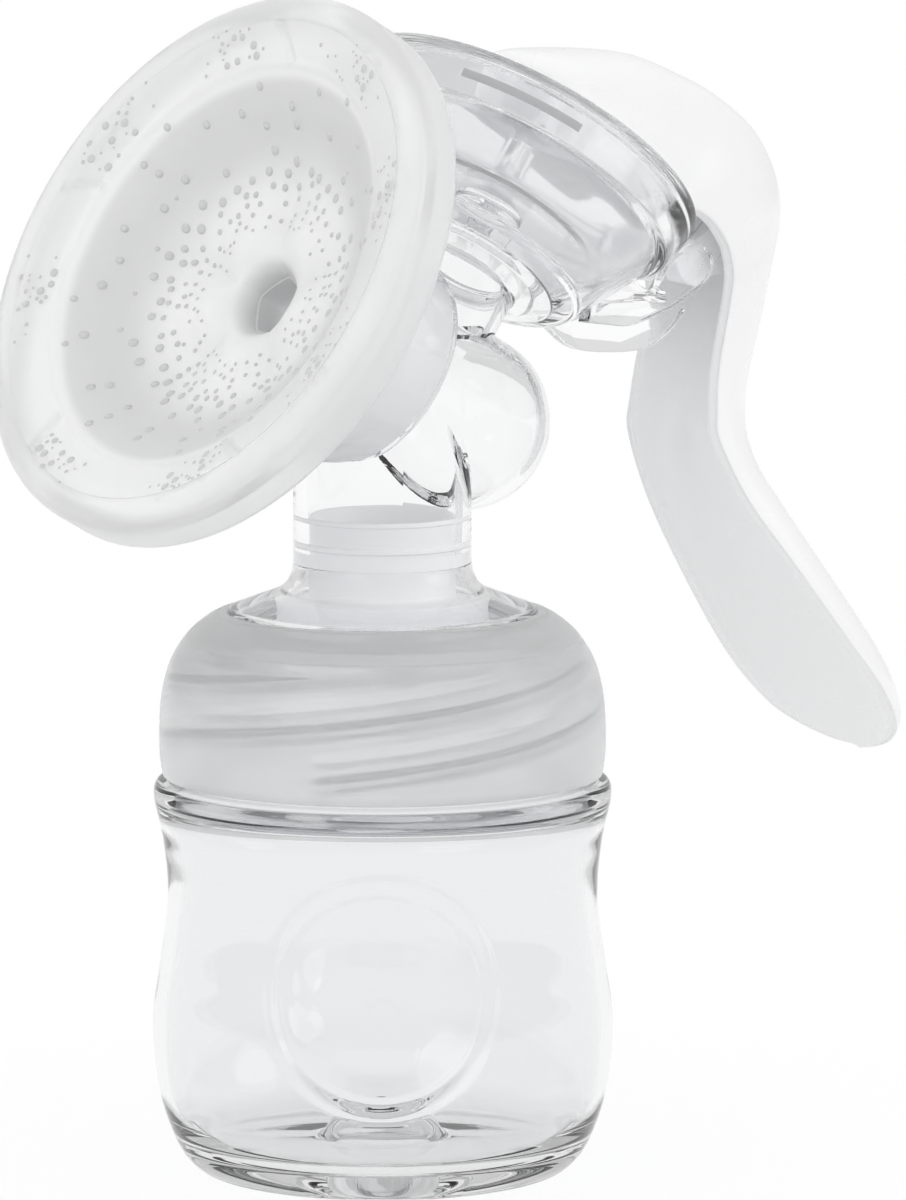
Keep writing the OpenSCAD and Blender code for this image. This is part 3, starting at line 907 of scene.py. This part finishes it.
def dot(bm, where, normal, radius, height, stretch):
    """A low round dome on the face, longer along the funnel's radius, with its foot sunk in the face."""
    side = Vector((where.x, where.y, 0)).normalized()
    side = (side - normal * side.dot(normal)).normalized()
    across = normal.cross(side)
    top = bm.verts.new(where + normal * height)
    last = None
    for ring in range(1, DOT_RINGS + 2):
        share = min(1.0, ring / DOT_RINGS)
        level = height * math.sqrt(1 - share * share) if ring <= DOT_RINGS else -DOT_SINK
        row = []
        for i in range(DOT_TICKS):
            a = 2 * math.pi * i / DOT_TICKS
            flat = side * (math.cos(a) * stretch) + across * math.sin(a)
            row.append(bm.verts.new(where + flat * (radius * share) + normal * level))
        for i in range(DOT_TICKS):
            k = (i + 1) % DOT_TICKS
            if last is None:
                bm.faces.new((top, row[i], row[k]))
            else:
                bm.faces.new((last[i], row[i], row[k], last[k]))
        last = row
    bm.faces.new(last[::-1])


# Middles of the clusters of dots on the outer band, in degrees from the top
CLUSTERS = (18, 61, 101, 156, 205, 248, 290, 331)
# Rows of dots on the slope: radius of the row, angle between dots, radius of a dot, share of places filled
DOT_ROWS = (
    (27.6, 15, 0.55, 0.75),
    (25.4, 19, 0.62, 0.8),
    (23.4, 17, 0.62, 0.8),
    (21.4, 19, 0.34, 0.6),
    (19.6, 13, 0.66, 0.85),
    (17.3, 9, 0.64, 0.92),
    (15.7, 8.5, 0.5, 0.85),
    (14.1, 8, 0.4, 0.9),
    (12.7, 8, 0.34, 0.85),
    (11.3, 9, 0.3, 0.8),
    (9.9, 10, 0.26, 0.75),
)


def build_dots():
    """Massage dots: clusters on the outer band, sparse large ones on the slope, small ones on the lobes."""
    rng = random.Random(7)
    bm = bmesh.new()
    taken = []

    def put(r, turn, radius, height, stretch=1.0):
        here, normal = face_point(r, turn)
        for other, reach in taken:
            if (other - here).length < reach + radius + DOT_GAP:
                return
        taken.append((here, radius))
        dot(bm, here, normal, radius, height, stretch)

    for middle in CLUSTERS:
        for _ in range(9):
            put(rng.uniform(30.8, 36.4), middle + rng.uniform(-7, 7), rng.choice((0.52, 0.6, 0.64)), 0.16)
        for _ in range(36):
            r, turn, size = rng.gauss(33.8, 2.0), middle + rng.gauss(0, 6), rng.choice((0.2, 0.26, 0.32))
            if 30.4 < r < 37.0:
                put(r, turn, size, 0.1)
    for row_r, gap, size, filled in DOT_ROWS:
        jitter = 0.35 + 0.02 * row_r
        height = 0.2 if size > 0.45 else 0.13
        for k in range(int(360 / gap)):
            if rng.random() < filled:
                r = row_r + rng.uniform(-jitter, jitter) + 0.5 * lobe(gap * k)
                turn = gap * k + rng.uniform(-0.2, 0.2) * gap
                put(r, turn, size * rng.uniform(0.85, 1.1), height, 1.1)
    bm.transform(ON_FUNNEL)
    flexing(piece("cushion_dots", bm, CUSHION_DOT, 60), "cushion", "petals", CONE_FLEX)


# ---- diaphragm and stem ----

# The two dark grips on the rim: angles of their middles, half their length in degrees, and their section
GRIP_MIDDLES = (-135, 135)
GRIP_HALF = 20
GRIP_SECTION = ((25.9, -4.7), (26.16, -4.7), (26.4, -3.6), (26.15, -3.6))
GRIP_STEPS = 36


def grip(middle):
    """A thin bar that stands out from the diaphragm's rim."""
    bm = bmesh.new()
    rows = []
    for i in range(GRIP_STEPS + 1):
        a = radians(middle - GRIP_HALF + 2 * GRIP_HALF * i / GRIP_STEPS)
        rows.append([bm.verts.new((r * math.cos(a), r * math.sin(a), h)) for r, h in GRIP_SECTION])
    ring_of_faces(bm, rows)
    bm.transform(ON_BOWL)
    return bm


def build_diaphragm():
    """The rim folded over the bowl, its two grips, and the pleated membrane down to the stem's foot."""
    rim = soft(
        [(21.9, -6, 0.3), (21.9, -0.6, 0.5), (22.7, 0, 0.5), (26.4, 0, 0.6), (26.8, -0.6, 0.4), (26.5, -2.4),
         (26.1, -4.3), (25.3, -6.8, 0.3), (25.0, -6.8, 0.1), (25.0, -1.2, 0.2), (23.2, -1.2, 0.2),
         (23.2, -6, 0.3)]
    )
    ring = piece("diaphragm_ring", turned(rim, ON_BOWL, 224), DIAPHRAGM_RIM)
    place_on(ring, "pump", "diaphragm_silicone", "diaphragm_rim")
    grips = piece("diaphragm_grips", merged(*[grip(middle) for middle in GRIP_MIDDLES]), SLOT_GREY)
    place_on(grips, "pump", "diaphragm_silicone")

    pleat = [(22.8, -6.6), (20.8, -10.4), (19, -12.3), (16.5, -13), (13, -12.3), (8, -11.3), (2.1, -11.2)]
    low = even(curve(pleat), 0.6)
    membrane = turned(low + beside(low, SHEET)[::-1], ON_BOWL, 192)
    skin = piece("diaphragm_skin", membrane, DIAPHRAGM_SILICONE)
    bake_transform(skin)
    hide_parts("diaphragm_membrane")


CROSS_BAR_HEIGHT = 5.9


def build_stem():
    """The stem: a foot under the membrane, a flared collar, a shaft with four fins, and the cross bar."""
    shaft = soft([(0, -12.5), (5, -12.5, 0.4), (5, -11.35, 0.3), (1.6, -11.3, 0.2), (1.6, -10.25, 0.1)])
    shaft += curve([(4, -10.15), (2.9, -9.2), (2.1, -8), (1.8, -6.8), (1.6, -5)], 5)
    shaft += [(1.6, CROSS_BAR_HEIGHT), (0, CROSS_BAR_HEIGHT)]
    fins = soft([(-2.3, -10.1), (2.3, -10.1), (2.3, 0, 0.8), (-2.3, 0, 0.8)])
    parts = [
        plate(fins, -0.55, 0.55, ON_BOWL @ Matrix.Rotation(radians(turn), 4, "Z"), 0.2) for turn in (45, 135)
    ]
    bar = soft([(0, -6.5), (1.6, -6.5, 0.5), (1.6, 6.5, 0.5), (0, 6.5)])
    parts.append(turned(bar, ON_BOWL @ Matrix.Translation((0, 0, CROSS_BAR_HEIGHT)) @ LAID_DOWN, 40))
    stem = solid(turned(shaft, ON_BOWL, 64))
    carve(stem, [solid(part) for part in parts], "UNION")
    finished(stem, "stem_rod", STEM_CLEAR, 35)
    place_on(stem, "stem", "stem_clear", "diaphragm_stem")


# ---- lever handle ----

# The back's outline in (x, z), from the hood's front over the top and down to the paddle's tip
HANDLE_BACK = [
    (20, 149.8), (21.5, 153.4), (27, 154.4), (42.8, 153.4), (53.2, 150.2), (61.5, 146.4), (68.6, 140.6),
    (72.3, 131.4), (69.5, 117), (64.9, 105.5), (64.4, 98), (69.4, 89.3), (83.2, 71.2), (92.4, 58),
    (95.9, 52.4), (96.3, 50.4), (95, 49.3), (92.9, 49.2),
]
# The point of that outline that lies across from the end of the hood's rim
BACK_TURN = 7
# (x, z, half width) of the rim, from the hood's front over the arch above the clip, and on down to the tip
HOOD_RIM = [
    (21.38, 148.13, 10.6), (32, 140.26, 10.6), (43.07, 132.05, 10.6), (46.5, 131.7, 10.6), (50, 131, 10.6),
    (53.2, 129, 10.6), (56, 125.7, 10.4),
]
ARM_RIM = [
    (56, 125.7, 10.4), (57.5, 122, 9.8), (57.9, 118.6, 9.0), (57, 113.6, 8.7), (55.6, 107.6, 8.8),
    (54.9, 102, 9.3), (55, 98.2, 9.7), (59.5, 89.4, 11), (66.4, 80.2, 13), (75.9, 68.3, 14.8),
    (81.8, 61.4, 15.3), (85.6, 57, 14.3), (88, 54.2, 12.6), (90, 52.2, 10), (91.5, 50.8, 7), (92.3, 50, 4),
    (92.6, 49.7, 0.3),
]
# The hood's front is round: its radius, and how far back its centre is
HOOD_FRONT_R = 10.8
HOOD_FRONT_X = 31.4
HANDLE_WALL = 2.0
# Rim section as (share of the wall, from outside to inside, and height): a groove, and a bead inside it
RIM_GROOVE = [(0.07, 0.06), (0.16, -0.22), (0.3, -0.3), (0.42, -0.05)]
RIM_BEAD = [(0.56, 0.4), (0.78, 0.46), (0.94, 0.22)]
# Sections of the hood and of the arm, and points across the outside and the inside of each section
HOOD_STEPS, ARM_STEPS = 56, 96
OUTER_TICKS, INNER_TICKS = 30, 24
# 2 makes an elliptical section, and more makes a squarer one
OUTER_SQUARE = 2.4


def handle_stations():
    """Pairs of a point on the back and one on the rim, closer together at both ends."""
    back = curve(HANDLE_BACK)
    turn_at = BACK_TURN * 8
    hood_back, arm_back = back[: turn_at + 1], back[turn_at:]
    hood_rim, arm_rim = curve(HOOD_RIM), curve(ARM_RIM)
    stations = []
    for i in range(HOOD_STEPS):
        share = (i / HOOD_STEPS) ** 1.25
        stations.append((part_way(hood_back, share), part_way(hood_rim, share)))
    for i in range(ARM_STEPS + 1):
        share = 1 - (1 - i / ARM_STEPS) ** 1.2
        stations.append((part_way(arm_back, share), part_way(arm_rim, share)))
    return stations


def arch(rim, up, wide, deep, square, ticks):
    """Half of a squarish ellipse across the handle, from one side over the back to the other."""
    points = []
    for k in range(ticks + 1):
        a = math.pi * k / ticks
        c, q = math.cos(a), math.sin(a)
        p = rim + up * (deep * abs(q) ** (2 / square))
        points.append((p.x, -wide * math.copysign(abs(c) ** (2 / square), c), p.y))
    return points


def handle_section(back, rim, wide, to_front, to_tip):
    """One closed section of the hollow handle: the outside, one rolled edge, the inside, the other edge."""
    depth = (back - rim).length
    up = (back - rim).normalized()
    if (back.x + rim.x) / 2 < HOOD_FRONT_X and to_front < 60:
        off = (back.x + rim.x) / 2 - HOOD_FRONT_X
        wide = min(wide, math.sqrt(max(0.04, HOOD_FRONT_R ** 2 - off ** 2)))
    wall = min(HANDLE_WALL, wide * 0.4)
    back_wall = HANDLE_WALL + 2.6 * smooth(70, 150, to_front)
    hollow = smooth(1.8, 4.2, to_front) * smooth(1.5, 14.0, to_tip)
    inner_deep = max(0.0, depth - back_wall) * hollow
    inner_wide = max(0.2, wide - wall)
    # The inside is squarer under the hood, where it clears the stem
    inner_square = 3.4 - 1.2 * smooth(55, 90, to_front)
    edge = min(1.0, depth / 4) * smooth(0.5, 4, to_tip)
    bead = edge * (1 - smooth(0.6, 0.82, to_front / (to_front + to_tip))) * smooth(3, 8, to_front)
    lip = [(share, height * edge) for share, height in RIM_GROOVE]
    lip += [(share, height * bead) for share, height in RIM_BEAD]
    near = [(rim - up * height, wide - wall * share) for share, height in lip]
    section = arch(rim, up, wide, depth, OUTER_SQUARE, OUTER_TICKS)
    section += [(p.x, y, p.y) for p, y in near]
    section += arch(rim, up, inner_wide, inner_deep, inner_square, INNER_TICKS)[::-1]
    section += [(p.x, -y, p.y) for p, y in near[::-1]]
    return section


def build_handle_shell():
    """The lever: a hood over the bowl, an arm and a broad paddle, open towards the bottle."""
    stations = handle_stations()
    middles = [(back + rim.xy) / 2 for back, rim in stations]
    lengths = lengths_along(middles)
    bm = bmesh.new()
    rows = []
    for (back, rim), at in zip(stations, lengths):
        section = handle_section(back, rim.xy, rim.z, at, lengths[-1] - at)
        rows.append([bm.verts.new(Vector(p) * MM) for p in section])
    ring_of_faces(bm, rows)
    shell = finer(piece("handle_shell", bm, HANDLE_WHITE, 60))
    place_on(shell, "handle", "handle_white", "handle")


def build_lug():
    """The snap lug on the pin, with two ribs back to the shell."""
    x, z = PIVOT.x, PIVOT.z
    lug = soft([(0, -5.1), (3.3, -5.1, 0.4), (3.3, 5.1, 0.4), (0, 5.1)])
    rib = soft([(x + 2.4, z - 2.6, 0.3), (69, 122.4, 0.4), (69, 132.4, 0.4), (x + 1.2, z + 3.1, 0.3)])
    parts = [turned(lug, UPRIGHT @ Matrix.Translation(PIVOT) @ LAID_DOWN, 48)]
    parts += [plate(rib, low, high, UPRIGHT, 0.3) for low, high in ((-5.1, -3.5), (3.5, 5.1))]
    place_on(piece("handle_lug", merged(*parts), HANDLE_WHITE), "handle", "handle_white")


def build_fork():
    """The slotted shelf that lifts the stem's cross bar."""
    outline = soft([(-5.9, -9.4, 1.0), (7, -9.4, 1.0), (7, 9.4, 1.0), (-5.9, 9.4, 1.0)])
    slot = soft([(-5.9, 2.6, 0.5), (3.4, 2.6, 1.6), (3.4, -2.6, 1.6), (-5.9, -2.6, 0.5)])
    bm = bmesh.new()
    ring_of_faces(bm, [[bm.verts.new((p.x, p.y, height)) for p in outline + slot] for height in (2.65, 4.15)])
    bmesh.ops.triangulate(bm, faces=[f for f in bm.faces if len(f.verts) > 4])
    bm.transform(ON_BOWL)
    place_on(piece("handle_fork", bm, HANDLE_WHITE), "handle", "handle_white")


# ---- build ----

build_bottle()
build_ring()
build_body()
build_valve()
build_cone()
build_throat()
build_dots()
build_diaphragm()
build_stem()
build_handle_shell()
build_lug()
build_fork()


# ---- studio ----

SKY_LOW = 1.07
SKY_HIGH = 0.98
# Name, place, size and power in watts; all of them look at LIGHTS_AIM
LIGHTS = (
    ("key", (0.8, -1.0, 0.5), 0.8, 1.8),
    ("left", (-1.15, -0.2, 0.5), 0.8, 2.1),
    ("back", (0.5, 1.1, 0.9), 0.8, 0.4),
)
LIGHTS_AIM = Vector((0.01, 0, 0.1))
# Degrees round to the left of the front, and degrees above the horizon
CAMERA_TURN = 41.587
CAMERA_RISE = 7.518
CAMERA_AIM = Vector((0.00722, -0.00654, 0.07925))
CAMERA_DISTANCE = 1.0


def build_floor():
    """A large pale disc that fades into the background's white away from the object."""
    bm = bmesh.new()
    bmesh.ops.create_circle(bm, cap_ends=True, segments=96, radius=9.0)
    mesh = bpy.data.meshes.new("floor")
    bm.to_mesh(mesh)
    bm.free()
    floor = bpy.data.objects.new("floor", mesh)
    floor.location = (0, 0, -0.0004)
    bpy.context.scene.collection.objects.link(floor)
    material = bpy.data.materials.new("floor_white")
    s = Shader(material)
    path = s.add("LightPath").outputs
    away = s.vector("LENGTH", {0: s.spot()})["Value"]
    lit = s.add("BsdfDiffuse", {"Color": rgb(0.93)}).outputs[0]
    level = s.level(path["Is Diffuse Ray"], 0.97, 0.77)
    level = s.level(path["Is Camera Ray"], level, 1.0)
    glow = s.add("Emission", {"Color": rgb(1.0), "Strength": level}).outputs[0]
    s.finish(s.mix(s.range(away, 0.03, 0.20, 0.8, 1.0), lit, glow))
    mesh.materials.append(material)


def build_world():
    """Soft white room.

    Seen directly it is plain white, and soft surfaces are lit evenly from above and below. In reflections and
    through clear pieces it is bright ahead and dimmer at the sides and overhead, so that clear edges read.
    """
    world = bpy.data.worlds.new("studio")
    bpy.context.scene.world = world
    s = Shader(world)
    coords = s.add("TexCoord").outputs
    path = s.add("LightPath").outputs
    seen = s.add("SeparateXYZ", {0: s.vector("NORMALIZE", {0: coords["Camera"]})[0]}).outputs
    ahead = s.range(seen["Z"], -0.3, 0.7, 0.78, 1.0)
    sides = s.range(s.math("ABSOLUTE", seen["X"]), 0.40, 0.72, 0.0, 0.36)
    sides = s.math("MULTIPLY", sides, s.range(seen["Y"], 0.35, 0.8, 1.0, 0.0))
    over = s.range(seen["Y"], 0.40, 0.55, 0.0, 0.12)
    over = s.math("MULTIPLY", over, s.range(seen["Y"], 0.75, 0.9, 1.0, 0.0))
    clear_level = s.math("SUBTRACT", ahead, s.math("MAXIMUM", sides, over))
    clear_level = s.math("MULTIPLY", clear_level, s.range(path["Is Glossy Ray"], 0, 1, 1.0, 0.72))
    soft_level = s.range(s.upward(coords["Generated"]), -0.1, 0.9, SKY_LOW, SKY_HIGH)
    level = s.level(path["Is Diffuse Ray"], clear_level, soft_level)
    level = s.level(path["Is Camera Ray"], level, 1.0)
    back = s.add("Background", {"Color": rgb(1.0), "Strength": level}).outputs[0]
    s.add("OutputWorld", {"Surface": back})


def build_lights():
    for name, where, size, power in LIGHTS:
        light = bpy.data.lights.new(name, "AREA")
        light.shape = "DISK"
        light.size = size
        light.energy = power
        obj = bpy.data.objects.new(name, light)
        obj.location = where
        obj.rotation_euler = (LIGHTS_AIM - Vector(where)).to_track_quat("-Z", "Y").to_euler()
        bpy.context.scene.collection.objects.link(obj)


def build_camera():
    """Camera at the photograph's viewing angle."""
    data = bpy.data.cameras.new("camera")
    data.sensor_width = 36.0
    data.lens = 217.36
    data.clip_start, data.clip_end = 0.05, 50.0
    camera = bpy.data.objects.new("camera", data)
    turn = Matrix.Rotation(radians(-CAMERA_TURN), 4, "Z") @ Matrix.Rotation(radians(90 - CAMERA_RISE), 4, "X")
    camera.matrix_world = Matrix.Translation(CAMERA_AIM) @ turn @ Matrix.Translation((0, 0, CAMERA_DISTANCE))
    bpy.context.scene.collection.objects.link(camera)
    bpy.context.scene.camera = camera


def set_bounces():
    """Enough bounces for light to pass through nested clear walls."""
    cycles = bpy.context.scene.cycles
    cycles.max_bounces = cycles.transmission_bounces = cycles.transparent_max_bounces = 32
    cycles.glossy_bounces = 8
    cycles.diffuse_bounces = 7
    cycles.caustics_reflective = cycles.caustics_refractive = False


build_floor()
build_world()
build_lights()
build_camera()
set_bounces()
bpy.context.scene.view_settings.view_transform = "Standard"
bpy.context.scene.view_settings.look = "None"
